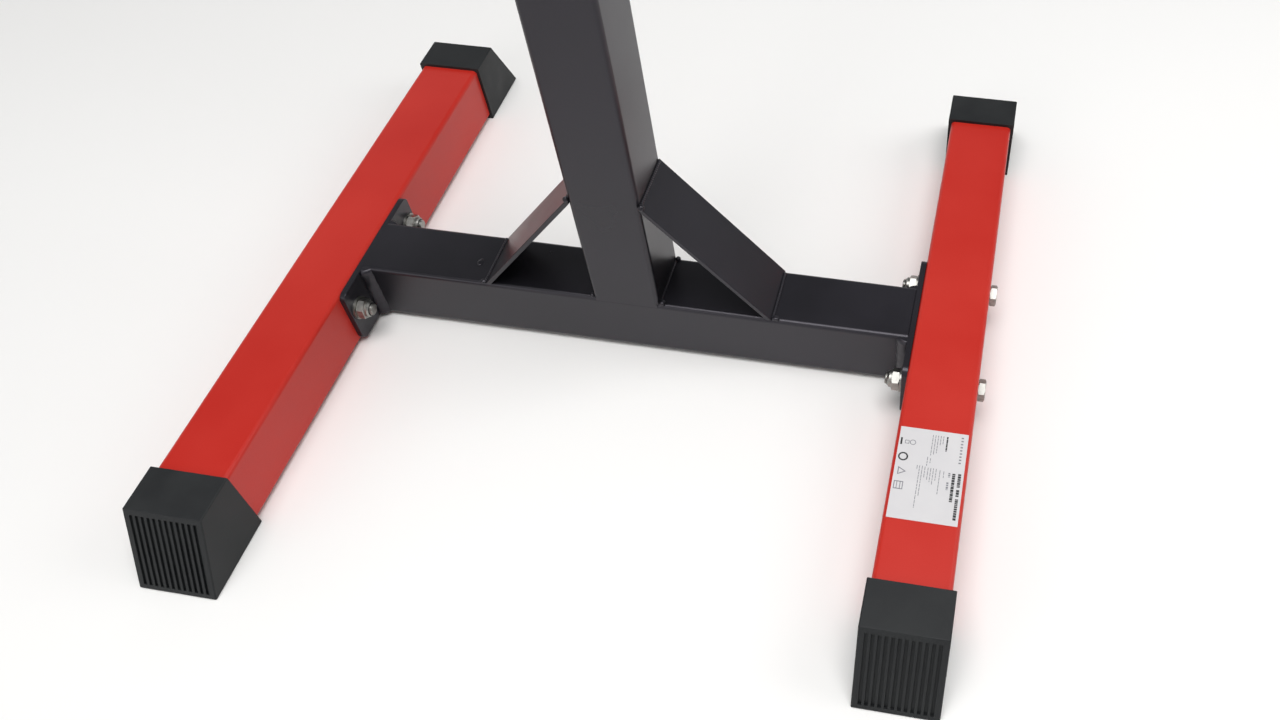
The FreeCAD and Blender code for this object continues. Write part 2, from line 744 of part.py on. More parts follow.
def pin_housing():
    """Turned barrel welded to the post, with a chamber for the spring."""
    body = turned_body("pin_housing", [
        (PIN_BORE, "0"),
        (HOUSING_RADIUS, "0"),
        (HOUSING_RADIUS, HOUSING_LENGTH),
        ("dim.chamber_radius", HOUSING_LENGTH),
        ("dim.chamber_radius", "dim.housing_floor"),
        (PIN_BORE, "dim.housing_floor"),
    ])
    place_on_pin_axis(body)
    PARTS.append(body)


def pin_gland_nut():
    """Hexagon gland screwed into the housing: it guides the pin and carries the spring."""
    spigot_end = f"({HOUSING_LENGTH} - dim.gland_spigot)"
    top = f"({HOUSING_LENGTH} + dim.gland_height)"
    spigot = [(PIN_BORE, spigot_end), ("dim.chamber_radius", spigot_end)]
    hexagon = bevelled_hexagon("dim.chamber_radius", HOUSING_LENGTH, top, "dim.gland_flats")
    outline = spigot + hexagon + [(PIN_BORE, top)]
    piece = hexagon_piece("pin_gland_nut", outline, "dim.gland_flats", spigot_end, top)
    place_on_pin_axis(piece)
    PARTS.append(piece)


def lock_pin():
    """Steel pin with a flange that the spring pushes towards the mast."""
    tip = "-(dim.tube_wall + dim.guide_gap + dim.pin_engagement)"
    end = f"({KNOB_START} + dim.knob_socket)"
    body = turned_body("lock_pin", [
        ("0", tip),
        ("dim.pin_radius - dim.pin_tip_bevel", tip),
        ("dim.pin_radius", f"dim.pin_tip_bevel + {tip}"),
        ("dim.pin_radius", "dim.housing_floor"),
        (FLANGE_RADIUS, "dim.housing_floor"),
        (FLANGE_RADIUS, FLANGE_TOP),
        ("dim.pin_radius", FLANGE_TOP),
        ("dim.pin_radius", end),
        ("0", end),
    ])
    place_on_pin_axis(body)
    PARTS.append(body)


def lock_pin_spring():
    """Coil spring between the pin's flange and the gland."""
    body = new_body("lock_pin_spring")
    wire = new_sketch(body, "spring_wire_section", "XZ_Plane")
    coil_radius = "((dim.pin_radius + dim.chamber_radius) / 2)"
    start = f"({FLANGE_TOP} + dim.spring_wire / 2)"
    draw_circle(wire, coil_radius, start, "dim.spring_wire / 2", "wire")
    coil = body.newObject("PartDesign::AdditiveHelix", "spring_coil")
    coil.Profile = wire
    coil.ReferenceAxis = (wire, ["V_Axis"])
    coil.Mode = "height-turns-angle"
    coil.setExpression("Height", f"{SPRING_SPACE} - dim.spring_wire")
    coil.setExpression("Turns", "dim.spring_turns")
    place_on_pin_axis(body)
    PARTS.append(body)


def pin_knob():
    """Round knob with a neck and a blind socket for the pin's end."""
    top = f"({KNOB_START} + dim.knob_length)"
    neck_top = f"({KNOB_START} + dim.knob_neck)"
    flare = "(dim.knob_radius - dim.knob_neck_radius)"
    socket_end = f"({KNOB_START} + dim.knob_socket)"
    body = turned_body("pin_knob", [
        ("dim.pin_radius", KNOB_START),
        ("dim.knob_neck_radius", KNOB_START),
        ("dim.knob_neck_radius", neck_top),
        ("dim.knob_radius", f"{neck_top} + {flare} / 2"),
        ("dim.knob_radius", top),
        ("0", top),
        ("0", socket_end),
        ("dim.pin_radius", socket_end),
    ])
    widest = number("dim.knob_radius")

    def is_rim(edge):
        return edge.BoundBox.ZLength < TOUCH and edge.BoundBox.XMax > widest - TOUCH

    round_edges(body, body.Tip, "dim.knob_round", is_rim)
    place_on_pin_axis(body)
    PARTS.append(body)


# ---- Whole stand ---------------------------------------------------------------------------------


def check_and_export():
    """Recompute, refuse any failed object or bad shape, then write one file per piece."""
    DOC.recompute()
    for item in DOC.Objects:
        if "Invalid" in item.State or "Error" in item.State:
            raise RuntimeError(f"{item.Label} failed: {item.State}")
    for piece in PARTS:
        if piece.Shape.isNull() or not piece.Shape.isValid():
            raise RuntimeError(f"{piece.Label} has no valid shape")
    os.makedirs("parts", exist_ok=True)
    for piece in PARTS:
        piece.Shape.exportStep(f"parts/{piece.Label}.step")


fill_sheet()
for side_name, side_sign in (("left", -1), ("right", 1)):
    foot_tube(side_name, side_sign)
    foot_cap(side_name, side_sign, "front", -1)
    foot_cap(side_name, side_sign, "rear", 1)
    mounting_plate(side_name, side_sign)
    gusset_strap(side_name, side_sign)
    foot_fasteners(side_name, side_sign)
cross_beam()
post_tube()
rating_label()
post_guide_collar()
mast_tube()
mast_guide_shoe()
cradle_base_plate()
cradle()
cradle_liner()
pin_housing()
pin_gland_nut()
lock_pin()
lock_pin_spring()
pin_knob()
check_and_export()
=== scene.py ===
import math
import random

import bmesh
import bpy
from mathutils import Matrix, Vector


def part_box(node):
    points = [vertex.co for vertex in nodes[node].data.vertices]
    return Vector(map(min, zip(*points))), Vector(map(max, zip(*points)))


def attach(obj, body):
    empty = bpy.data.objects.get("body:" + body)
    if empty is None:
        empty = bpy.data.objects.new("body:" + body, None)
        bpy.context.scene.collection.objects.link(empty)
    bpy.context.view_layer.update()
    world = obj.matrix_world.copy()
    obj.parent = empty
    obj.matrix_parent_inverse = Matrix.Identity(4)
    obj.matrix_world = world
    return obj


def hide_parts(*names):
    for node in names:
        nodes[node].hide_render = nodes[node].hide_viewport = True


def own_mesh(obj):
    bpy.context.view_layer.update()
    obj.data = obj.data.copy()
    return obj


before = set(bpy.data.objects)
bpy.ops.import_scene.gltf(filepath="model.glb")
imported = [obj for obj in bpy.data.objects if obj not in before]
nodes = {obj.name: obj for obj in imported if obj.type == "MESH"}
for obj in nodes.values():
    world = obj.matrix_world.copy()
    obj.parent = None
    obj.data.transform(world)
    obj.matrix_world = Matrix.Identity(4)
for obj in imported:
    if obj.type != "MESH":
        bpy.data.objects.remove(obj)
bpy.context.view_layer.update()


# ---- Feet ----------------------------------------------------------------------------------------
# Two lengths of 60 mm square steel tube that lie along the floor, one at each end of the beam.
# They are sprayed with red powder and baked, which leaves a satin skin with a soft orange peel.


def linear(code):
    """A colour written as sRGB hex, as linear red, green, blue and full alpha."""
    channels = [int(code[i:i + 2], 16) / 255 for i in (1, 3, 5)]
    light = [c / 12.92 if c <= 0.04045 else ((c + 0.055) / 1.055) ** 2.4 for c in channels]
    return (*light, 1.0)


def add_node(tree, kind, inputs=None, **settings):
    """A node with its settings. An input given a node or a socket is linked to it; others are set."""
    node = tree.nodes.new(kind)
    for name, value in settings.items():
        setattr(node, name, value)
    for name, value in (inputs or {}).items():
        if isinstance(value, bpy.types.Node):
            value = next(output for output in value.outputs if output.enabled)
        if isinstance(value, bpy.types.NodeSocket):
            tree.links.new(value, node.inputs[name])
        else:
            node.inputs[name].default_value = value
    return node


def start_finish(name):
    """A new material with its shader, and the piece's own coordinates to lay patterns by."""
    finish = bpy.data.materials.new(name)
    finish.use_nodes = True
    tree = finish.node_tree
    tree.nodes.clear()
    shader = add_node(tree, "ShaderNodeBsdfPrincipled")
    add_node(tree, "ShaderNodeOutputMaterial", {"Surface": shader.outputs["BSDF"]})
    place = add_node(tree, "ShaderNodeTexCoord").outputs["Object"]
    return finish, tree, shader, place


def surface(tree, shader, colours, gloss, relief=None, span=(0.3, 0.7)):
    """Wire a shader by three patterns, each with two values: two colours, two roughnesses, and
    the strength and depth in metres of the relief. The gloss pattern is read over the span."""
    pattern, dark, light = colours
    tint = add_node(
        tree, "ShaderNodeMix", {0: pattern, 6: linear(dark), 7: linear(light)}, data_type="RGBA"
    )
    tree.links.new(tint.outputs[2], shader.inputs["Base Color"])
    pattern, first, last = gloss
    rough = add_node(
        tree, "ShaderNodeMapRange",
        {"Value": pattern, "From Min": span[0], "From Max": span[1], "To Min": first, "To Max": last},
    )
    tree.links.new(rough.outputs[0], shader.inputs["Roughness"])
    if relief:
        pattern, strength, depth = relief
        bump = add_node(
            tree, "ShaderNodeBump", {"Height": pattern, "Strength": strength, "Distance": depth}
        )
        tree.links.new(bump.outputs[0], shader.inputs["Normal"])


def powder_coat(name, thin, full, smooth, dull, shine):
    """Baked powder paint: a cloudy pair of colours, uneven gloss and an orange peel."""
    finish, tree, shader, place = start_finish(name)
    # Clouds 120 mm across, where the powder lies a little thicker.
    cloud = add_node(tree, "ShaderNodeTexNoise", {"Vector": place, "Scale": 1 / 0.120, "Detail": 3.0})
    # Pigment grains, 0.1 mm in the paint and drawn 0.9 mm so that they show.
    grain = add_node(tree, "ShaderNodeTexNoise", {"Vector": place, "Scale": 1 / 0.0009, "Detail": 1.0})
    both = add_node(tree, "ShaderNodeMath", {0: grain, 1: 0.35, 2: cloud}, operation="MULTIPLY_ADD")
    share = add_node(tree, "ShaderNodeMapRange", {"Value": both, "From Min": 0.50, "From Max": 0.86})
    # Orange peel, 2.5 mm from crest to crest.
    peel = add_node(tree, "ShaderNodeTexNoise", {"Vector": place, "Scale": 1 / 0.0025, "Detail": 1.0})
    surface(tree, shader, (share, thin, full), (cloud, smooth, dull), (peel, 0.22, 0.0001))
    shader.inputs["Specular IOR Level"].default_value = shine
    return finish


def dress(finish, *names):
    """Give CAD nodes a finish in place of the plain one they came with."""
    for name in names:
        mesh = nodes[name].data
        mesh.materials.clear()
        mesh.materials.append(finish)


# Pigment for the eye: a warm signal red, with the slightest cloudiness.
red_powder = powder_coat(
    "red_powder_coat_satin", thin="#BA251B", full="#C22E23", smooth=0.32, dull=0.42, shine=0.36
)
dress(red_powder, "left_foot_tube", "right_foot_tube")


# ---- Cross beam and mounting plates --------------------------------------------------------------
# A third length of the same tube joins the feet, with a 5 mm steel plate welded to each end.
# The welds down its sides are ground to a flat band, then all of it is powder coated black.

black_powder = powder_coat(
    "black_powder_coat_satin", thin="#151518", full="#1C1B20", smooth=0.27, dull=0.37, shine=0.56
)
black_powder.node_tree.nodes["Principled BSDF"].inputs["Specular Tint"].default_value = linear("#F4EFFA")
dress(black_powder, "cross_beam", "left_mounting_plate", "right_mounting_plate")

beam_low, beam_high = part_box("cross_beam")


def start_tree(name, start, *sizes):
    """A Geometry Nodes tree, and its named inputs: where it starts, its sizes and its finish."""
    tree = bpy.data.node_groups.new(name, "GeometryNodeTree")
    tree.interface.new_socket(start, in_out="INPUT", socket_type="NodeSocketGeometry")
    for size in sizes:
        kind = "NodeSocketInt" if size.endswith("count") else "NodeSocketFloat"
        tree.interface.new_socket(size, in_out="INPUT", socket_type=kind)
    tree.interface.new_socket("Finish", in_out="INPUT", socket_type="NodeSocketMaterial")
    tree.interface.new_socket("Shape", in_out="OUTPUT", socket_type="NodeSocketGeometry")
    return tree, add_node(tree, "NodeGroupInput").outputs


def end_tree(tree, shape, finish):
    """The end of a tree: smooth shading, real geometry and the finish on it."""
    smooth = add_node(tree, "GeometryNodeSetShadeSmooth", {"Geometry": shape})
    solid = add_node(tree, "GeometryNodeRealizeInstances", {"Geometry": smooth})
    coated = add_node(tree, "GeometryNodeSetMaterial", {"Geometry": solid, "Material": finish})
    add_node(tree, "NodeGroupOutput", {"Shape": coated})
    return tree


def bead_tree():
    """Geometry Nodes for a weld: a round bead along each seam, rippled, with domed ends."""
    tree, given = start_tree(
        "weld_bead", "Seam", "Bead radius", "Ripple spacing", "Ripple height", "End swell",
        "Unbroken ring",
    )
    radius = given["Bead radius"]
    spacing = given["Ripple spacing"]
    stride = add_node(tree, "ShaderNodeMath", {0: spacing, 1: 0.16}, operation="MULTIPLY")
    points = add_node(
        tree, "GeometryNodeResampleCurve", {"Curve": given["Seam"], "Length": stride}, mode="LENGTH"
    )
    run = add_node(tree, "GeometryNodeSplineParameter").outputs["Length"]
    whole = add_node(tree, "GeometryNodeSplineLength")
    left_over = add_node(tree, "ShaderNodeMath", {0: whole, 1: run}, operation="SUBTRACT")
    to_end = add_node(tree, "ShaderNodeMath", {0: run, 1: left_over}, operation="MINIMUM")
    # A dome at each end: a quarter circle over one bead radius.
    near = add_node(
        tree, "ShaderNodeMapRange", {"Value": to_end, "From Max": radius, "To Min": 1.0, "To Max": 0.0}
    )
    square = add_node(tree, "ShaderNodeMath", {0: near, 1: near}, operation="MULTIPLY")
    rest = add_node(tree, "ShaderNodeMath", {0: 1.0002, 1: square}, operation="SUBTRACT")
    curve = add_node(tree, "ShaderNodeMath", {0: rest}, operation="SQRT")
    dome = add_node(tree, "ShaderNodeMath", {0: curve, 1: given["Unbroken ring"]}, operation="MAXIMUM")
    # The blob left where the torch stops, fading out over four bead radii.
    reach = add_node(tree, "ShaderNodeMath", {0: radius, 1: 4.0}, operation="MULTIPLY")
    fade = add_node(
        tree, "ShaderNodeMapRange", {"Value": to_end, "From Max": reach, "To Min": 1.0, "To Max": 0.0}
    )
    fall = add_node(tree, "ShaderNodeMath", {0: fade, 1: fade}, operation="MULTIPLY")
    blob = add_node(
        tree, "ShaderNodeMath", {0: fall, 1: given["End swell"], 2: 1.0}, operation="MULTIPLY_ADD"
    )
    count = add_node(tree, "ShaderNodeMath", {0: run, 1: spacing}, operation="DIVIDE")
    angle = add_node(tree, "ShaderNodeMath", {0: count, 1: math.tau}, operation="MULTIPLY")
    wave = add_node(tree, "ShaderNodeMath", {0: angle}, operation="SINE")
    ripple = add_node(
        tree, "ShaderNodeMath", {0: wave, 1: given["Ripple height"], 2: 1.0}, operation="MULTIPLY_ADD"
    )
    unsteady = add_node(tree, "ShaderNodeTexNoise", {"Scale": 1 / 0.011, "Detail": 1.0})
    hand = add_node(tree, "ShaderNodeMath", {0: unsteady, 1: 0.36, 2: 0.82}, operation="MULTIPLY_ADD")
    size = dome
    for share in (blob, ripple, hand):
        size = add_node(tree, "ShaderNodeMath", {0: size, 1: share}, operation="MULTIPLY")
    ring = add_node(tree, "GeometryNodeCurvePrimitiveCircle", {"Resolution": 12, "Radius": radius})
    swept = add_node(
        tree, "GeometryNodeCurveToMesh",
        {"Curve": points, "Profile Curve": ring, "Scale": size, "Fill Caps": True},
    )
    return end_tree(tree, swept, given["Finish"])


def grow(start, tree, **inputs):
    """Run a tree on an object and keep the plain mesh it makes; inputs go by their names."""
    step = start.modifiers.new("grow", "NODES")
    step.node_group = tree
    keys = {item.name: item.identifier for item in tree.interface.items_tree if item.in_out == "INPUT"}
    for name, value in inputs.items():
        step[keys[name.replace("_", " ")]] = value
    bpy.context.view_layer.update()
    graph = bpy.context.evaluated_depsgraph_get()
    mesh = bpy.data.meshes.new_from_object(start.evaluated_get(graph), depsgraph=graph)
    bpy.data.objects.remove(start)
    return mesh


def add_piece(name, mesh, body):
    """Put a finished mesh in the scene, riding on a body, with the finish the mesh already has."""
    mesh.name = name
    piece = bpy.data.objects.new(name, mesh)
    bpy.context.scene.collection.objects.link(piece)
    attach(piece, body)
    return piece


weld_tree = bead_tree()


def weld(name, seams, body, radius, height=0.07, swell=0.35, ring=False):
    """Weld beads along seams, each a list of points, in black powder coat."""
    path = bpy.data.curves.new(name, "CURVE")
    path.dimensions = "3D"
    for stops in seams:
        line = path.splines.new("POLY")
        line.points.add(len(stops) - 1)
        line.use_cyclic_u = ring
        for point, stop in zip(line.points, stops):
            point.co = (*stop, 1.0)
    start = bpy.data.objects.new(name + "_path", path)
    bpy.context.scene.collection.objects.link(start)
    mesh = grow(
        start, weld_tree, Bead_radius=radius, Ripple_spacing=0.0024, Ripple_height=height,
        End_swell=swell, Unbroken_ring=float(ring), Finish=black_powder,
    )
    return add_piece(name, mesh, body)


def settle(shape, name, *finishes):
    """Turn a bmesh into a mesh whose normals point out, with its finishes."""
    bmesh.ops.recalc_face_normals(shape, faces=shape.faces)
    mesh = bpy.data.meshes.new(name)
    shape.to_mesh(mesh)
    shape.free()
    for finish in finishes:
        mesh.materials.append(finish)
    return mesh


def loft(shape, rows):
    """Add a closed solid through rows of points: each row is one ring, and the end rings are filled."""
    rings = [[shape.verts.new(point) for point in row] for row in rows]
    count = len(rows[0])
    for lower, upper in zip(rings, rings[1:]):
        for i in range(count):
            j = (i + 1) % count
            shape.faces.new((lower[i], lower[j], upper[j], upper[i])).smooth = True
    shape.faces.new(rings[0])
    shape.faces.new(rings[-1])


def ground_band(end, side, rng):
    """A fillet ground nearly flat, from the beam's side to the plate, wavering a little."""
    face = beam_high.x
    # The band starts just under the beam's top edge, is that long, and sinks into plate and beam.
    top = beam_high.z - 0.0012
    length = 0.0570
    into_plate = 0.0003
    into_beam = 0.003
    rows = []
    steps = 24
    for step in range(steps + 1):
        height = top - length * step / steps
        reach = 0.0092 + rng.uniform(-0.0003, 0.0003)
        climb = 0.0052 + rng.uniform(-0.0002, 0.0002)
        # The first row is tucked in, so that the band's upper end is rounded over.
        tuck = 0.0022 if step == 0 else 0.0
        # From a point inside the corner, along the beam, over the ground face and back.
        row = [(face + into_plate, beam_high.y - into_beam - tuck)]
        row.append((face - reach, beam_high.y - into_beam - tuck))
        row.append((face - reach, beam_high.y + 0.0001 - tuck))
        for part in range(1, 8):
            share = part / 8
            bulge = 0.0009 * math.sin(math.pi * share)
            row.append((
                face - reach * (1 - share) - bulge * 0.5,
                beam_high.y + climb * share + bulge - tuck,
            ))
        row.append((face + into_plate, beam_high.y + climb - tuck))
        rows.append([(end * x, side * y, height) for x, y in row])
    return rows


band_rng = random.Random(4)
bands = bmesh.new()
for end in (-1, 1):
    for side in (-1, 1):
        loft(bands, ground_band(end, side, band_rng))
band_mesh = settle(bands, "bands", black_powder)
add_piece("plate_side_ground_welds", band_mesh, "base")


def seam(x, reach, z):
    """The two ends of a straight weld that runs along Y."""
    return [(x, -reach, z), (x, reach, z)]


# Under the beam the welds are left as they were laid.
weld(
    "plate_under_welds",
    [seam(end * (beam_high.x - 0.0006), 0.026, beam_low.z + 0.0006) for end in (-1, 1)],
    "base", radius=0.0022, height=0.06, swell=0.1,
)


# ---- Post ----------------------------------------------------------------------------------------
# An upright length of the same tube stands on the middle of the beam. It is welded down its left
# and right sides, and the joints in front and behind are filled and ground level with the beam.

dress(black_powder, "post_tube")
post_low, post_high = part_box("post_tube")


def ground_joint(side):
    """The outline, in Y and Z, of the filler between the post's foot and the beam's round edge."""
    corner = 0.004
    corner_y = 0.026
    face = 0.0299
    back = 0.0255
    level = beam_high.z
    into_post = 0.00005
    outline = [(side * face, level + into_post), (side * back, level + into_post)]
    # Down round the beam's rounded edge, just inside it, so that no gap shows.
    for step in range(6):
        turn = math.radians(90 - 90 * step / 5)
        outline.append((
            side * (corner_y + (corner - 0.0001) * math.cos(turn)),
            level - corner + (corner - 0.0004) * math.sin(turn),
        ))
    return outline


for side, place_name in ((-1, "front"), (1, "rear")):
    filler = bmesh.new()
    half = post_high.x - 0.0022
    loft(filler, [[(x, y, z) for y, z in ground_joint(side)] for x in (-half, half)])
    for face in filler.faces:
        face.smooth = False
    filler_mesh = settle(filler, place_name, black_powder)
    add_piece("post_" + place_name + "_ground_weld", filler_mesh, "base")

weld(
    "post_foot_welds",
    [seam(side * (post_high.x + 0.0002), 0.0275, post_low.z + 0.0003) for side in (-1, 1)],
    "base", radius=0.0013, swell=0.3,
)


# ---- Gusset straps -------------------------------------------------------------------------------
# A 4 mm steel strap as wide as the tube slants from the post down to the beam on each side.
# It is welded along both of its ends, and a drop of weld shows at each corner.

dress(black_powder, "left_gusset_strap", "right_gusset_strap")
strap_low, strap_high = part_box("right_gusset_strap")

strap_seams = []
for side in (-1, 1):
    strap_seams.append(seam(side * (strap_low.x + 0.0005), 0.0285, strap_high.z - 0.0005))
    strap_seams.append(seam(side * (strap_high.x + 0.0004), 0.0275, strap_low.z + 0.0002))
weld("strap_welds", strap_seams, "base", radius=0.0015, swell=0.3)


def points_object(name, spots, word, vectors):
    """Loose points, each with a vector under that word for whatever is set on it."""
    mesh = bpy.data.meshes.new(name)
    mesh.from_pydata(spots, [], [])
    attribute = mesh.attributes.new(word, "FLOAT_VECTOR", "POINT")
    for index, vector in enumerate(vectors):
        attribute.data[index].vector = vector
    points = bpy.data.objects.new(name, mesh)
    bpy.context.scene.collection.objects.link(points)
    return points


def drop_tree():
    """Geometry Nodes for drops of weld metal: a lumpy ball set on each point."""
    tree, given = start_tree("weld_drops", "Spots", "Drop radius", "Lump size", "Lump height")
    ball = add_node(
        tree, "GeometryNodeMeshIcoSphere", {"Radius": given["Drop radius"], "Subdivisions": 4}
    )
    stretch = add_node(
        tree, "GeometryNodeInputNamedAttribute", {"Name": "stretch"}, data_type="FLOAT_VECTOR"
    )
    placed = add_node(
        tree, "GeometryNodeInstanceOnPoints",
        {"Points": given["Spots"], "Instance": ball, "Scale": stretch},
    )
    solid = add_node(tree, "GeometryNodeRealizeInstances", {"Geometry": placed})
    density = add_node(tree, "ShaderNodeMath", {0: 1.0, 1: given["Lump size"]}, operation="DIVIDE")
    lumps = add_node(tree, "ShaderNodeTexNoise", {"Scale": density, "Detail": 1.0})
    height = add_node(
        tree, "ShaderNodeMapRange",
        {"Value": lumps, "From Min": 0.3, "From Max": 0.7, "To Max": given["Lump height"]},
    )
    outward = add_node(tree, "GeometryNodeInputNormal")
    push = add_node(tree, "ShaderNodeVectorMath", {0: outward, "Scale": height}, operation="SCALE")
    moved = add_node(tree, "GeometryNodeSetPosition", {"Geometry": solid, "Offset": push})
    return end_tree(tree, moved, given["Finish"])


# Where each seam's front end stops, and one stray drop on the beam's top beside the left strap.
drop_spots = [
    ((post_high.x + 0.0022, -0.0270, post_low.z + 0.0010), (1.10, 1.15, 0.95)),
    ((-post_high.x - 0.0016, -0.0275, post_low.z + 0.0006), (0.80, 0.85, 0.70)),
    ((strap_low.x + 0.0016, -0.0292, strap_high.z - 0.0012), (1.05, 1.05, 1.15)),
    ((-strap_low.x - 0.0016, -0.0292, strap_high.z - 0.0012), (0.90, 0.95, 1.00)),
    ((strap_high.x + 0.0030, -0.0275, strap_low.z + 0.0006), (1.50, 0.95, 0.75)),
    ((-strap_high.x - 0.0024, -0.0275, strap_low.z + 0.0004), (1.20, 0.90, 0.65)),
    ((post_high.x + 0.0018, 0.0272, post_low.z + 0.0008), (0.95, 0.95, 0.85)),
    ((-0.1450, -0.0055, beam_high.z - 0.0001), (1.05, 1.70, 0.45)),
]
drop_points = points_object(
    "drop_spots", [at for at, _ in drop_spots], "stretch", [stretch for _, stretch in drop_spots]
)
drops = grow(
    drop_points, drop_tree(), Drop_radius=0.0024, Lump_size=0.0035, Lump_height=0.0005,
    Finish=black_powder,
)
add_piece("weld_drops", drops, "base")


# ---- Rubber end caps -----------------------------------------------------------------------------
# Moulded black rubber sleeves over both ends of each foot, with ribbed, leaning end faces.
# Rubber this matt looks dark grey: a fine mould grain catches light, and it picks up pale dust.


def moulded_rubber():
    """Matt black rubber with a mould grain and a bloom of dust."""
    finish, tree, shader, place = start_finish("moulded_black_rubber")
    # Dust in soft patches 35 mm across.
    dust = add_node(
        tree, "ShaderNodeTexNoise",
        {"Vector": place, "Scale": 1 / 0.035, "Detail": 5.0, "Roughness": 0.62},
    )
    share = add_node(tree, "ShaderNodeMapRange", {"Value": dust, "From Min": 0.38, "From Max": 0.68})
    # Mould grain: 0.3 mm in the rubber, drawn 1.1 mm so that it shows.
    grain = add_node(tree, "ShaderNodeTexNoise", {"Vector": place, "Scale": 1 / 0.0011, "Detail": 2.0})
    surface(tree, shader, (share, "#17191B", "#222425"), (dust, 0.50, 0.66), (grain, 0.30, 0.00015))
    shader.inputs["Specular IOR Level"].default_value = 0.36
    return finish


rubber = moulded_rubber()
dress(rubber, "left_front_cap", "left_rear_cap", "right_front_cap", "right_rear_cap")


# ---- Bolts, washers and nuts ---------------------------------------------------------------------
# M10 hexagon bolts pass through the feet and plates, with flat washers and locking nuts inside.
# They are bright zinc plated: a mirror that is slightly milky, and crystalline from close by.


def bright_zinc():
    """Bright zinc plating on turned steel, a little milky and uneven."""
    finish, tree, shader, place = start_finish("bright_zinc_plating")
    shader.inputs["Metallic"].default_value = 1.0
    # Patches of plating 4 mm across.
    patch = add_node(tree, "ShaderNodeTexNoise", {"Vector": place, "Scale": 1 / 0.004, "Detail": 3.0})
    share = add_node(tree, "ShaderNodeMapRange", {"Value": patch, "From Min": 0.3, "From Max": 0.7})
    # Forging marks, about 1.2 mm across.
    marks = add_node(tree, "ShaderNodeTexNoise", {"Vector": place, "Scale": 1 / 0.0012, "Detail": 1.0})
    surface(tree, shader, (share, "#8E8D89", "#ADACA7"), (patch, 0.32, 0.44), (marks, 0.05, 0.0001))
    return finish


zinc = bright_zinc()
dress(
    zinc, "left_foot_bolts", "right_foot_bolts", "left_foot_nuts", "right_foot_nuts",
    "left_foot_washers", "right_foot_washers",
)

bolt_y = 0.055
bolt_z = (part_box("right_foot_nuts")[0].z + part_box("right_foot_nuts")[1].z) / 2
bolt_radius = 0.005
nut_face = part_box("right_foot_nuts")[0].x
bolt_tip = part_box("right_foot_bolts")[0].x


def coil(tree, given, wire, turns, steps, size=1.0):
    """A wire of that section wound round Z in so many steps a turn, by the tree's sizes."""
    helix = add_node(
        tree, "GeometryNodeCurveSpiral",
        {
            "Resolution": steps, "Rotations": turns, "Start Radius": given["Coil radius"],
            "End Radius": given["Coil radius"], "Height": given["Length"],
        },
    )
    return add_node(
        tree, "GeometryNodeCurveToMesh",
        {"Curve": helix, "Profile Curve": wire, "Scale": size, "Fill Caps": True},
    )


def thread_tree():
    """Geometry Nodes for the thread on a bolt's tip: a wedge-shaped wire wound round it."""
    tree, given = start_tree("bolt_thread", "Tips", "Coil radius", "Pitch", "Length")
    turns = add_node(tree, "ShaderNodeMath", {0: given["Length"], 1: given["Pitch"]}, operation="DIVIDE")
    crest = add_node(tree, "ShaderNodeMath", {0: given["Pitch"], 1: 0.30}, operation="MULTIPLY")
    wedge = add_node(tree, "GeometryNodeCurvePrimitiveCircle", {"Resolution": 6, "Radius": crest})
    run = add_node(tree, "GeometryNodeSplineParameter").outputs["Factor"]
    # The thread fades in and out over its last eighth at each end.
    other = add_node(tree, "ShaderNodeMath", {0: 1.0, 1: run}, operation="SUBTRACT")
    near = add_node(tree, "ShaderNodeMath", {0: run, 1: other}, operation="MINIMUM")
    fade = add_node(tree, "ShaderNodeMapRange", {"Value": near, "From Max": 0.125, "To Min": 0.05})
    ridge = coil(tree, given, wedge, turns, 28, fade)
    turn = add_node(tree, "GeometryNodeInputNamedAttribute", {"Name": "turn"}, data_type="FLOAT_VECTOR")
    placed = add_node(
        tree, "GeometryNodeInstanceOnPoints",
        {"Points": given["Tips"], "Instance": ridge, "Rotation": turn},
    )
    return end_tree(tree, placed, given["Finish"])


tips = []
tip_turns = []
for end in (-1, 1):
    for side in (-1, 1):
        tips.append((end * (bolt_tip + 0.0002), side * bolt_y, bolt_z))
        tip_turns.append((0.0, math.radians(90 * end), 0.0))
threads = grow(
    points_object("thread_points", tips, "turn", tip_turns), thread_tree(), Coil_radius=bolt_radius,
    Pitch=0.0011, Length=nut_face - bolt_tip, Finish=zinc,
)
add_piece("bolt_threads", threads, "base")


# ---- Locking rings -------------------------------------------------------------------------------
# Each nut holds a nylon ring that grips the bolt's thread. It is moulded in black nylon, and only
# its edge shows, as a dull dark circle between the bright bolt and the bright nut.


def plastic(name, shade, lit, grain_size, depth, smooth, dull):
    """Moulded plastic with an eroded mould grain and slightly uneven gloss."""
    finish, tree, shader, place = start_finish(name)
    cloud = add_node(tree, "ShaderNodeTexNoise", {"Vector": place, "Scale": 1 / 0.030, "Detail": 4.0})
    grain = add_node(
        tree, "ShaderNodeTexVoronoi", {"Vector": place, "Scale": 1 / grain_size}, feature="SMOOTH_F1"
    )
    surface(tree, shader, (cloud, shade, lit), (cloud, smooth, dull), (grain, 0.35, depth))
    return finish


nylon = plastic(
    "moulded_black_nylon", shade="#141415", lit="#1C1C1E", grain_size=0.0008, depth=0.00005,
    smooth=0.42, dull=0.52,
)


def turn_outline(shape, outline, steps, place):
    """Add a closed body of revolution about X, from an outline of (radius, X), moved to its place."""
    rings = []
    for step in range(steps):
        angle = math.tau * step / steps
        rings.append([
            shape.verts.new(place @ Vector((x, radius * math.cos(angle), radius * math.sin(angle))))
            for radius, x in outline
        ])
    count = len(outline)
    for step in range(steps):
        following = rings[(step + 1) % steps]
        for i in range(count):
            j = (i + 1) % count
            shape.faces.new((rings[step][i], rings[step][j], following[j], following[i])).smooth = True


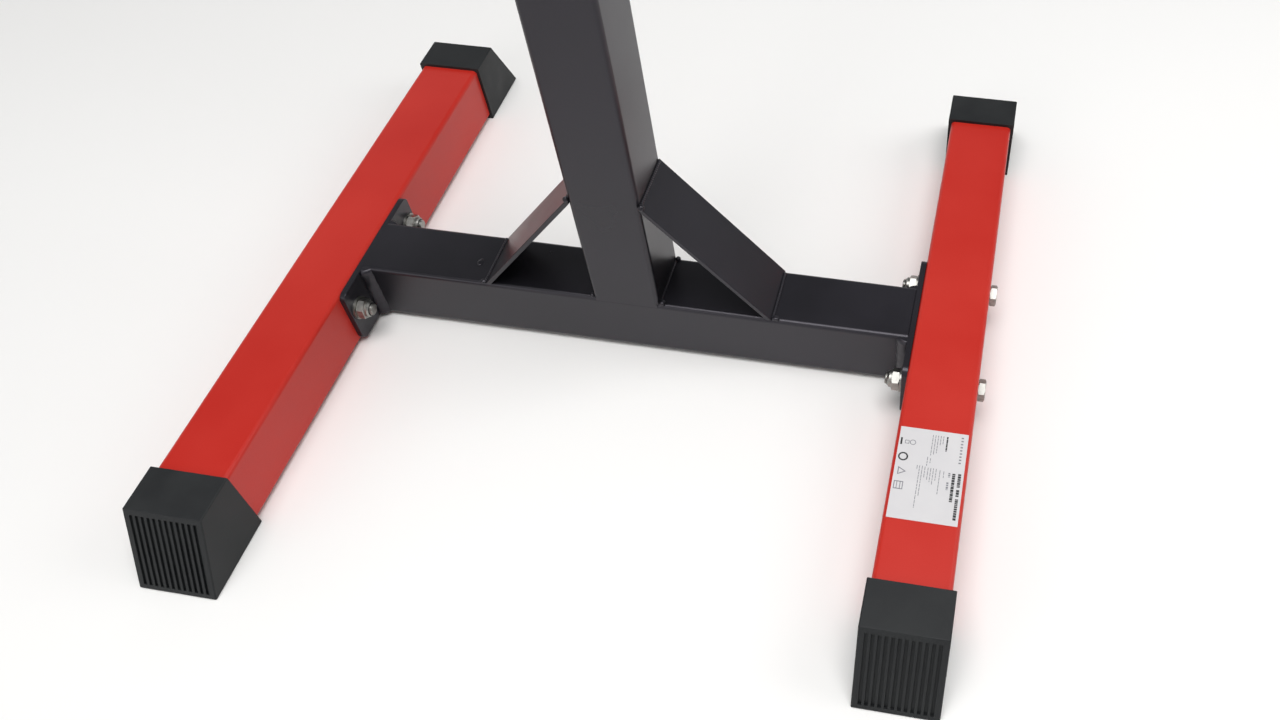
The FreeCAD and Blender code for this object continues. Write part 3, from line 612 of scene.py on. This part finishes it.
ring_outline = [
    (0.0050, 0.0004), (0.0061, 0.0004), (0.0061, -0.0001), (0.0058, -0.0003), (0.0053, -0.0003),
    (0.0050, -0.0001),
]
locking_rings = bmesh.new()
for end in (-1, 1):
    for side in (-1, 1):
        place = Matrix.Translation((nut_face, side * bolt_y, bolt_z))
        if end < 0:
            place = Matrix.Rotation(math.pi, 4, "Z") @ place
        turn_outline(locking_rings, ring_outline, 32, place)
add_piece("nut_locking_rings", settle(locking_rings, "rings", nylon), "base")


# ---- Rating label --------------------------------------------------------------------------------
# A white plastic film sticker on top of the right foot, between the front cap and the plate.
# Its print is made of plain bars and outlines that stand for rows of words and small symbols.


def film():
    """White vinyl film: satin, with a faint mottle and a soft waviness where it is stuck down."""
    finish, tree, shader, place = start_finish("white_vinyl_film")
    mottle = add_node(tree, "ShaderNodeTexNoise", {"Vector": place, "Scale": 1 / 0.018, "Detail": 3.0})
    wave = add_node(tree, "ShaderNodeTexNoise", {"Vector": place, "Scale": 1 / 0.009, "Detail": 1.0})
    surface(tree, shader, (mottle, "#CDCBCD", "#D7D5D5"), (mottle, 0.36, 0.50), (wave, 0.25, 0.0003))
    return finish


def ink(name, light, heavy, size):
    """Printed ink, slightly uneven where the film let it through."""
    finish, tree, shader, place = start_finish(name)
    uneven = add_node(tree, "ShaderNodeTexNoise", {"Vector": place, "Scale": 1 / size, "Detail": 2.0})
    surface(tree, shader, (uneven, light, heavy), (uneven, 0.5, 0.5))
    return finish


dress(film(), "rating_label")
label_low, label_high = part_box("rating_label")
black_ink = ink("black_label_ink", light="#2A2A2C", heavy="#141416", size=0.0016)
grey_ink = ink("grey_label_ink", light="#8A8A90", heavy="#6E6E75", size=0.0016)

# How far the print stands up from the film and sinks into it, and the slots of its two inks.
print_lift = 0.00005
print_sink = 0.00004
black = 0
grey = 1


def slab(shape, loops, band):
    """A thin closed plate of ink: loops are one outline, or an outline and the hole in it."""
    floor_z = label_high.z - print_sink
    top_z = label_high.z + print_lift
    rows = []
    for loop in loops:
        low_row = [shape.verts.new((x, y, floor_z)) for x, y in loop]
        high_row = [shape.verts.new((x, y, top_z)) for x, y in loop]
        rows.append((low_row, high_row))
        for i in range(len(loop)):
            j = (i + 1) % len(loop)
            wall = shape.faces.new((low_row[i], low_row[j], high_row[j], high_row[i]))
            wall.material_index = band
    if len(loops) == 1:
        shape.faces.new(rows[0][0]).material_index = band
        shape.faces.new(rows[0][1]).material_index = band
    else:
        (low_out, high_out), (low_in, high_in) = rows
        for i in range(len(low_out)):
            j = (i + 1) % len(low_out)
            shape.faces.new((low_out[i], low_out[j], low_in[j], low_in[i])).material_index = band
            shape.faces.new((high_out[i], high_out[j], high_in[j], high_in[i])).material_index = band


def spot(across, along):
    """A place on the label: across in 57ths of its width, and along in mm from its rear edge."""
    width = label_high.x - label_low.x
    return (label_low.x + width * across / 57, label_high.y - along / 1000)


def bar(shape, across, start, stop, thick, band):
    """A bar of ink along the foot, in mm."""
    slab(shape, [[
        spot(across - thick / 2, start), spot(across + thick / 2, start),
        spot(across + thick / 2, stop), spot(across - thick / 2, stop),
    ]], band)


def outline_shape(shape, across, along, radii, thick, band):
    """The outline of a many-sided symbol whose corners lie at those radii and angles."""
    centre = Vector(spot(across, along))
    outer = [centre + Vector((r * math.cos(a), r * math.sin(a))) / 1000 for r, a in radii]
    inner = [centre + (corner - centre) * (1 - thick / (corner - centre).length / 1000) for corner in outer]
    slab(shape, [outer, inner], band)


def words(shape, across, start, stop, thick, band, letter, gap, rng):
    """A row of ink bars broken like words: each is letter mm long or more, with gaps between."""
    at = start
    while at < stop - 0.4:
        long = min(rng.uniform(0.8, 1.9) * letter, stop - at)
        bar(shape, across, at, at + long, thick, band)
        at += long + gap * rng.uniform(0.8, 1.25)


rng = random.Random(11)
printed = bmesh.new()
# Heading: two bold rows along the right edge, drawn as close blocks.
for across, stops in ((53.6, ((38.0, 50.4), (52.6, 58.8), (61.0, 80.6))), (48.9, ((38.4, 64.8),))):
    for start, stop in stops:
        words(printed, across, start, stop, 2.5, black, 1.15, 0.42, rng)
# A light, widely spaced row above the heading.
for step in range(9):
    bar(printed, 52.3 + 0.1 * (step % 2), 3.4 + 3.0 * step, 4.6 + 3.0 * step, 1.9, grey)
# A short bold row, with thin rows beside it.
words(printed, 39.9, 4.6, 18.6, 1.25, black, 2.4, 0.35, rng)
for across, start, stop in (
    (36.6, 4.5, 12.0), (34.4, 4.5, 13.5), (32.2, 4.5, 21.5), (30.0, 4.5, 23.0), (27.8, 4.5, 24.5),
    (28.2, 27.0, 31.5), (25.8, 26.0, 35.0),
    (40.6, 37.4, 43.6), (37.4, 37.0, 59.0), (34.2, 36.0, 47.0), (31.9, 36.0, 51.0),
    (29.7, 36.0, 49.0), (27.5, 36.0, 47.5), (24.9, 35.5, 45.5), (22.6, 35.0, 63.0),
    (20.4, 35.0, 74.0), (18.4, 35.0, 39.0),
):
    words(printed, across, start, stop, 0.55, grey, 2.2, 0.6, rng)
words(printed, 45.2, 38.2, 42.2, 1.7, grey, 1.0, 0.6, rng)
words(printed, 44.6, 47.0, 54.0, 1.7, grey, 1.0, 0.6, rng)
# Down the left edge: a bold bar, two small frames, a ring, a triangle and a window.
bar(printed, 2.2, 10.8, 17.4, 1.5, black)
outline_shape(printed, 7.0, 14.4, [(2.4, math.radians(45 + 90 * i)) for i in range(4)], 0.7, grey)
outline_shape(printed, 11.8, 14.2, [(2.5, math.tau * i / 14) for i in range(14)], 0.6, grey)
outline_shape(printed, 5.6, 28.6, [(4.0, math.tau * i / 28) for i in range(28)], 1.25, black)
outline_shape(printed, 5.4, 42.2, [(4.4, math.radians(120 * i)) for i in range(3)], 1.5, grey)
outline_shape(printed, 5.4, 55.4, [(5.2, math.radians(45 + 90 * i)) for i in range(4)], 1.0, grey)
bar(printed, 4.1, 52.0, 58.8, 0.6, grey)
bar(printed, 6.8, 52.0, 58.8, 0.6, grey)
print_mesh = settle(printed, "print", black_ink, grey_ink)
add_piece("rating_label_print", print_mesh, "base")


# ---- Guides of the mast --------------------------------------------------------------------------
# A collar pressed on the post's top and a shoe round the mast's foot keep the mast from rattling.
# Both are moulded black plastic with a fine eroded grain that makes it a soft satin.

black_plastic = plastic(
    "moulded_black_plastic", shade="#161617", lit="#202022", grain_size=0.0011, depth=0.00008,
    smooth=0.44, dull=0.56,
)
dress(black_plastic, "post_guide_collar", "mast_guide_shoe", "cradle_liner")


# ---- Mast ----------------------------------------------------------------------------------------
# A 50 mm square tube slides in the post, with a row of holes for the pull pin. It is powder coated
# black like the post, and the collar has rubbed faint upright lines into the paint.


def rubbed_powder():
    """Black powder coat with upright rub lines, a little paler and glossier than the rest."""
    finish, tree, shader, place = start_finish("black_powder_coat_rubbed")
    # Rub lines 1.5 mm apart and 90 mm long.
    drawn = add_node(
        tree, "ShaderNodeMapping", {"Vector": place, "Scale": (1 / 0.0015, 1 / 0.0015, 1 / 0.090)}
    )
    lines = add_node(tree, "ShaderNodeTexNoise", {"Vector": drawn, "Scale": 1.0, "Detail": 3.0})
    rubbed = add_node(tree, "ShaderNodeMapRange", {"Value": lines, "From Min": 0.58, "From Max": 0.74})
    peel = add_node(tree, "ShaderNodeTexNoise", {"Vector": place, "Scale": 1 / 0.0025, "Detail": 1.0})
    surface(
        tree, shader, (rubbed, "#17171A", "#2A2A2D"), (rubbed, 0.36, 0.24), (peel, 0.22, 0.0001),
        span=(0.0, 1.0),
    )
    return finish


dress(rubbed_powder(), "mast_tube")
mast_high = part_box("mast_tube")[1]


# ---- Cradle --------------------------------------------------------------------------------------
# A 5 mm steel strip bent to a U holds the bar. It is welded on a square plate on top of the mast,
# and a plastic liner lies in it.

dress(black_powder, "cradle_base_plate", "cradle")
plate_low, plate_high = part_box("cradle_base_plate")
around_mast = []
half = mast_high.x
corner_radius = 0.003
for corner_x, corner_y, begin in ((1, -1, -90), (1, 1, 0), (-1, 1, 90), (-1, -1, 180)):
    for step in range(5):
        angle = math.radians(begin + 90 * step / 4)
        around_mast.append((
            corner_x * (half - corner_radius) + corner_radius * math.cos(angle),
            corner_y * (half - corner_radius) + corner_radius * math.sin(angle),
            plate_low.z - 0.0003,
        ))
weld("mast_top_weld", [around_mast], "mast", radius=0.0021, ring=True, swell=0.0)
weld(
    "cradle_welds",
    [seam(side * 0.0225, 0.0275, plate_high.z + 0.0006) for side in (-1, 1)],
    "mast", radius=0.0022, swell=0.4,
)


def rivet_tree():
    """Geometry Nodes for rivets: a turned dome with a flat rim, set on each point."""
    tree, given = start_tree("liner_rivets", "Spots", "Head radius", "Head height")
    sunk = add_node(tree, "ShaderNodeMath", {0: given["Head height"], 1: -0.25}, operation="MULTIPLY")
    foot = add_node(tree, "ShaderNodeCombineXYZ", {"Z": sunk})
    crown = add_node(tree, "ShaderNodeCombineXYZ", {"Z": given["Head height"]})
    axis = add_node(tree, "GeometryNodeCurvePrimitiveLine", {"Start": foot, "End": crown})
    steps = add_node(tree, "GeometryNodeResampleCurve", {"Curve": axis, "Count": 14}, mode="COUNT")
    rise = add_node(tree, "GeometryNodeSplineParameter")
    # A straight rim for the first two fifths, and a quarter of an ellipse over the rest.
    over = add_node(tree, "ShaderNodeMapRange", {"Value": rise, "From Min": 0.4, "To Max": 0.998})
    square = add_node(tree, "ShaderNodeMath", {0: over, 1: over}, operation="MULTIPLY")
    rest = add_node(tree, "ShaderNodeMath", {0: 1.0, 1: square}, operation="SUBTRACT")
    dome = add_node(tree, "ShaderNodeMath", {0: rest}, operation="SQRT")
    rim = add_node(
        tree, "GeometryNodeCurvePrimitiveCircle", {"Resolution": 32, "Radius": given["Head radius"]}
    )
    head = add_node(
        tree, "GeometryNodeCurveToMesh",
        {"Curve": steps, "Profile Curve": rim, "Scale": dome, "Fill Caps": True},
    )
    turn = add_node(tree, "GeometryNodeInputNamedAttribute", {"Name": "turn"}, data_type="FLOAT_VECTOR")
    placed = add_node(
        tree, "GeometryNodeInstanceOnPoints",
        {"Points": given["Spots"], "Instance": head, "Rotation": turn},
    )
    return end_tree(tree, placed, given["Finish"])


# Four rivets through the arms hold the liner.
cradle_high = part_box("cradle")[1]
rivet_spots = []
rivet_turns = []
rivet_y = 0.014
rivet_z = plate_high.z + 0.036
for end in (-1, 1):
    for side in (-1, 1):
        rivet_spots.append((end * cradle_high.x, side * rivet_y, rivet_z))
        rivet_turns.append((0.0, math.radians(90 * end), 0.0))
rivets = grow(
    points_object("rivet_points", rivet_spots, "turn", rivet_turns), rivet_tree(), Head_radius=0.0042,
    Head_height=0.0019, Finish=zinc,
)
add_piece("liner_rivets", rivets, "mast")


# ---- Pull pin ------------------------------------------------------------------------------------
# A turned steel barrel is welded to the post and closed by a hexagon gland. A spring in it pushes
# the pin into the mast, and a round black knob pulls it out.


def turned_steel():
    """Zinc plated turned steel, with tool marks that run round the pin's axis."""
    finish, tree, shader, place = start_finish("turned_zinc_steel")
    shader.inputs["Metallic"].default_value = 1.0
    # Tool marks along the axis: 0.2 mm feed, drawn 0.7 mm so that they show.
    split = add_node(tree, "ShaderNodeSeparateXYZ", {"Vector": place})
    feed = add_node(
        tree, "ShaderNodeTexNoise", {"W": split.outputs["Y"], "Scale": 1 / 0.0007, "Detail": 2.0},
        noise_dimensions="1D",
    )
    surface(tree, shader, (feed, "#BDBCB8", "#DCDCDA"), (feed, 0.20, 0.36), (feed, 0.25, 0.00006))
    return finish


dress(turned_steel(), "pin_gland_nut", "lock_pin")
dress(black_powder, "pin_housing")
dress(black_plastic, "pin_knob")

housing_low, housing_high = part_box("pin_housing")
pin_z = (housing_low.z + housing_high.z) / 2
housing_radius = (housing_high.z - housing_low.z) / 2
seam_radius = housing_radius + 0.0003
ring_seam = []
for step in range(40):
    angle = math.tau * step / 40
    ring_seam.append((
        seam_radius * math.cos(angle), housing_high.y - 0.0003, pin_z + seam_radius * math.sin(angle)
    ))
weld("pin_housing_weld", [ring_seam], "base", radius=0.0021, ring=True, swell=0.0)


def lay_along_y(tree, instances):
    """Turn instances that were made along Z so that they lie along Y."""
    return add_node(
        tree, "GeometryNodeRotateInstances",
        {"Instances": instances, "Rotation": (math.radians(90), 0.0, 0.0)},
    )


def spring_tree():
    """Geometry Nodes for the coil spring: round wire wound round the Y axis."""
    tree, given = start_tree("coil_spring", "Seat", "Wire radius", "Coil radius", "Turns", "Length")
    wire = add_node(
        tree, "GeometryNodeCurvePrimitiveCircle", {"Resolution": 10, "Radius": given["Wire radius"]}
    )
    placed = add_node(
        tree, "GeometryNodeInstanceOnPoints",
        {"Points": given["Seat"], "Instance": coil(tree, given, wire, given["Turns"], 36)},
    )
    return end_tree(tree, lay_along_y(tree, placed), given["Finish"])


def drawn_wire():
    """Oiled spring wire: grey, with die marks too fine to see drawn 0.5 mm apart."""
    finish, tree, shader, place = start_finish("drawn_spring_wire")
    shader.inputs["Metallic"].default_value = 1.0
    marks = add_node(tree, "ShaderNodeTexNoise", {"Vector": place, "Scale": 1 / 0.0005, "Detail": 2.0})
    surface(tree, shader, (marks, "#77777A", "#9C9C9E"), (marks, 0.25, 0.45), span=(0.0, 1.0))
    return finish


wire_radius = 0.0006
spring_length = 0.0190
gland_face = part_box("lock_pin_spring")[0].y + wire_radius
spring = grow(
    points_object("spring_seat", [(0.0, gland_face + spring_length, pin_z)], "turn", []),
    spring_tree(), Wire_radius=wire_radius, Coil_radius=0.0065, Turns=5.0,
    Length=spring_length, Finish=drawn_wire(),
)
spring_piece = add_piece("pin_spring_coil", spring, "base")
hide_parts("lock_pin_spring")
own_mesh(spring_piece)


def grip_tree():
    """Geometry Nodes for the knob's grip: round-ended ribs set round it."""
    tree, given = start_tree(
        "knob_grip", "Middle", "Knob radius", "Rib radius", "Rib length", "Rib count"
    )
    ring = add_node(
        tree, "GeometryNodeMeshCircle",
        {"Vertices": given["Rib count"], "Radius": given["Knob radius"]},
    )
    half = add_node(tree, "ShaderNodeMath", {0: given["Rib length"], 1: 0.5}, operation="MULTIPLY")
    less = add_node(tree, "ShaderNodeMath", {0: half, 1: -1.0}, operation="MULTIPLY")
    start = add_node(tree, "ShaderNodeCombineXYZ", {"Z": less})
    stop = add_node(tree, "ShaderNodeCombineXYZ", {"Z": half})
    line = add_node(tree, "GeometryNodeCurvePrimitiveLine", {"Start": start, "End": stop})
    steps = add_node(tree, "GeometryNodeResampleCurve", {"Curve": line, "Count": 21}, mode="COUNT")
    rise = add_node(tree, "GeometryNodeSplineParameter")
    from_middle = add_node(tree, "ShaderNodeMapRange", {"Value": rise, "To Min": -0.999, "To Max": 0.999})
    eighth = add_node(tree, "ShaderNodeMath", {0: from_middle, 1: 8.0}, operation="POWER")
    rest = add_node(tree, "ShaderNodeMath", {0: 1.0, 1: eighth}, operation="SUBTRACT")
    taper = add_node(tree, "ShaderNodeMath", {0: rest}, operation="SQRT")
    profile = add_node(
        tree, "GeometryNodeCurvePrimitiveCircle", {"Resolution": 10, "Radius": given["Rib radius"]}
    )
    rib = add_node(
        tree, "GeometryNodeCurveToMesh",
        {"Curve": steps, "Profile Curve": profile, "Scale": taper, "Fill Caps": True},
    )
    ribs = add_node(tree, "GeometryNodeInstanceOnPoints", {"Points": ring, "Instance": rib})
    whole = add_node(tree, "GeometryNodeRealizeInstances", {"Geometry": ribs})
    placed = add_node(
        tree, "GeometryNodeInstanceOnPoints", {"Points": given["Middle"], "Instance": whole}
    )
    return end_tree(tree, lay_along_y(tree, placed), given["Finish"])


knob_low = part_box("pin_knob")[0]
knob_radius = 0.017
grip = grow(
    points_object("grip_middle", [(0.0, knob_low.y + 0.0105, pin_z)], "turn", []),
    grip_tree(), Knob_radius=knob_radius - 0.0006, Rib_radius=0.0012, Rib_length=0.0125,
    Rib_count=24, Finish=black_plastic,
)
add_piece("pin_knob_grip", grip, "pull_pin")

# A shallow round plug closes the moulding hole in the knob's face.
plug_outline = [
    (0.0001, 0.0), (0.0001, 0.0009), (0.0040, 0.0008), (0.0066, 0.0005), (0.0072, 0.0001),
    (0.0072, -0.0004), (0.0001, -0.0004),
]
plug = bmesh.new()
facing = Matrix.Translation((0.0, knob_low.y, pin_z)) @ Matrix.Rotation(math.radians(-90), 4, "Z")
turn_outline(plug, plug_outline, 40, facing)
add_piece("pin_knob_plug", settle(plug, "plug", nylon), "pull_pin")


# ---- Floor, light and camera ---------------------------------------------------------------------
# A pale studio floor that sweeps up all round, soft lights above and to the right, and a camera
# that looks down on the base from in front.


def studio_floor():
    """A round floor whose edge sweeps up into a wall, as one smooth bowl."""
    flat = 4.0
    sweep = 2.0
    sides = 96
    outline = [(1.0, 0.0), (2.5, 0.0), (flat, 0.0)]
    for step in range(1, 13):
        angle = math.radians(90 * step / 12)
        outline.append((flat + sweep * math.sin(angle), sweep - sweep * math.cos(angle)))
    outline.append((flat + sweep, 4.5))
    shape = bmesh.new()
    middle = shape.verts.new((0, 0, 0))
    around = [(math.cos(math.tau * step / sides), math.sin(math.tau * step / sides)) for step in range(sides)]
    rows = []
    for radius, height in outline:
        rows.append([shape.verts.new((radius * x, radius * y, height)) for x, y in around])
    for step in range(sides):
        after = (step + 1) % sides
        shape.faces.new((middle, rows[0][step], rows[0][after])).smooth = True
        for inner, outer in zip(rows, rows[1:]):
            shape.faces.new((inner[step], outer[step], outer[after], inner[after])).smooth = True
    mesh = bpy.data.meshes.new("studio_floor")
    shape.to_mesh(mesh)
    shape.free()
    floor = bpy.data.objects.new("studio_floor", mesh)
    bpy.context.scene.collection.objects.link(floor)
    return floor


floor = studio_floor()
paper, paper_tree, paper_shader, paper_place = start_finish("studio_paper_painted_light")
# The paper's colour is painted white under the stand and painted down to light grey round it: a painted pool
# of light, with painted shade beyond it.
centred = add_node(
    paper_tree, "ShaderNodeMapping",
    {"Vector": paper_place, "Location": (0.12, -0.28, 0.0), "Scale": (0.95, 1.35, 0.0)},
)
away = add_node(paper_tree, "ShaderNodeVectorMath", {0: centred}, operation="LENGTH").outputs["Value"]
fall = add_node(
    paper_tree, "ShaderNodeMapRange", {"Value": away, "From Min": 0.85, "From Max": 1.8},
    interpolation_type="SMOOTHSTEP",
)
surface(paper_tree, paper_shader, (fall, "#F6F5F3", "#B2B3B6"), (fall, 0.85, 0.85))
# The paper near its rim glows though it is no lamp: a painted light, stronger on the left than on the right,
# so that it stays pale on every side.
split_place = add_node(paper_tree, "ShaderNodeSeparateXYZ", {"Vector": paper_place})
near_rim = add_node(
    paper_tree, "ShaderNodeMapRange",
    {"Value": away, "From Min": 0.95, "From Max": 2.0, "To Max": 0.36},
    interpolation_type="SMOOTHSTEP",
)
to_right = add_node(
    paper_tree, "ShaderNodeMapRange",
    {"Value": split_place.outputs["X"], "From Min": -4.0, "From Max": 6.0, "To Min": 1.2, "To Max": 0.5},
)
painted_glow = add_node(paper_tree, "ShaderNodeMath", {0: near_rim, 1: to_right}, operation="MULTIPLY")
paper_tree.links.new(painted_glow.outputs[0], paper_shader.inputs["Emission Strength"])
paper_shader.inputs["Emission Color"].default_value = linear("#F4F4F3")
paper_shader.inputs["Specular IOR Level"].default_value = 0.2
floor.data.materials.append(paper)


def softbox(name, spot_at, aim, width, depth, power):
    """A soft rectangular light aimed at a point."""
    lamp = bpy.data.lights.new(name, "AREA")
    lamp.shape = "RECTANGLE"
    lamp.size = width
    lamp.size_y = depth
    lamp.energy = power
    holder = bpy.data.objects.new(name, lamp)
    holder.location = spot_at
    holder.rotation_euler = (Vector(aim) - Vector(spot_at)).to_track_quat("-Z", "Y").to_euler()
    bpy.context.scene.collection.objects.link(holder)


softbox(
    "overhead_softbox", (0.25, -0.45, 2.7), (0.0, 0.1, 0.0), width=2.2, depth=1.7, power=66
)
softbox("right_softbox", (1.9, 0.5, 1.6), (0.0, 0.0, 0.2), width=1.2, depth=1.2, power=11)
softbox("front_softbox", (-0.9, -1.9, 1.2), (0.0, 0.0, 0.3), width=1.4, depth=1.0, power=6)

world = bpy.data.worlds.new("studio_air")
bpy.context.scene.world = world
world.use_nodes = True
world.node_tree.nodes["Background"].inputs["Color"].default_value = linear("#DCDEE2")
world.node_tree.nodes["Background"].inputs["Strength"].default_value = 0.16

camera_data = bpy.data.cameras.new("camera")
camera_data.sensor_width = 36.0
camera_data.lens = 31.322
camera_data.shift_x = -0.15625
camera_data.clip_start = 0.02
camera_data.clip_end = 60.0
camera = bpy.data.objects.new("camera", camera_data)
camera.location = (0.30616, -0.63946, 0.79538)
camera.rotation_euler = (math.radians(38.681), math.radians(0.541), math.radians(10.0255))
bpy.context.scene.collection.objects.link(camera)
bpy.context.scene.camera = camera
bpy.context.scene.view_settings.view_transform = "Standard"
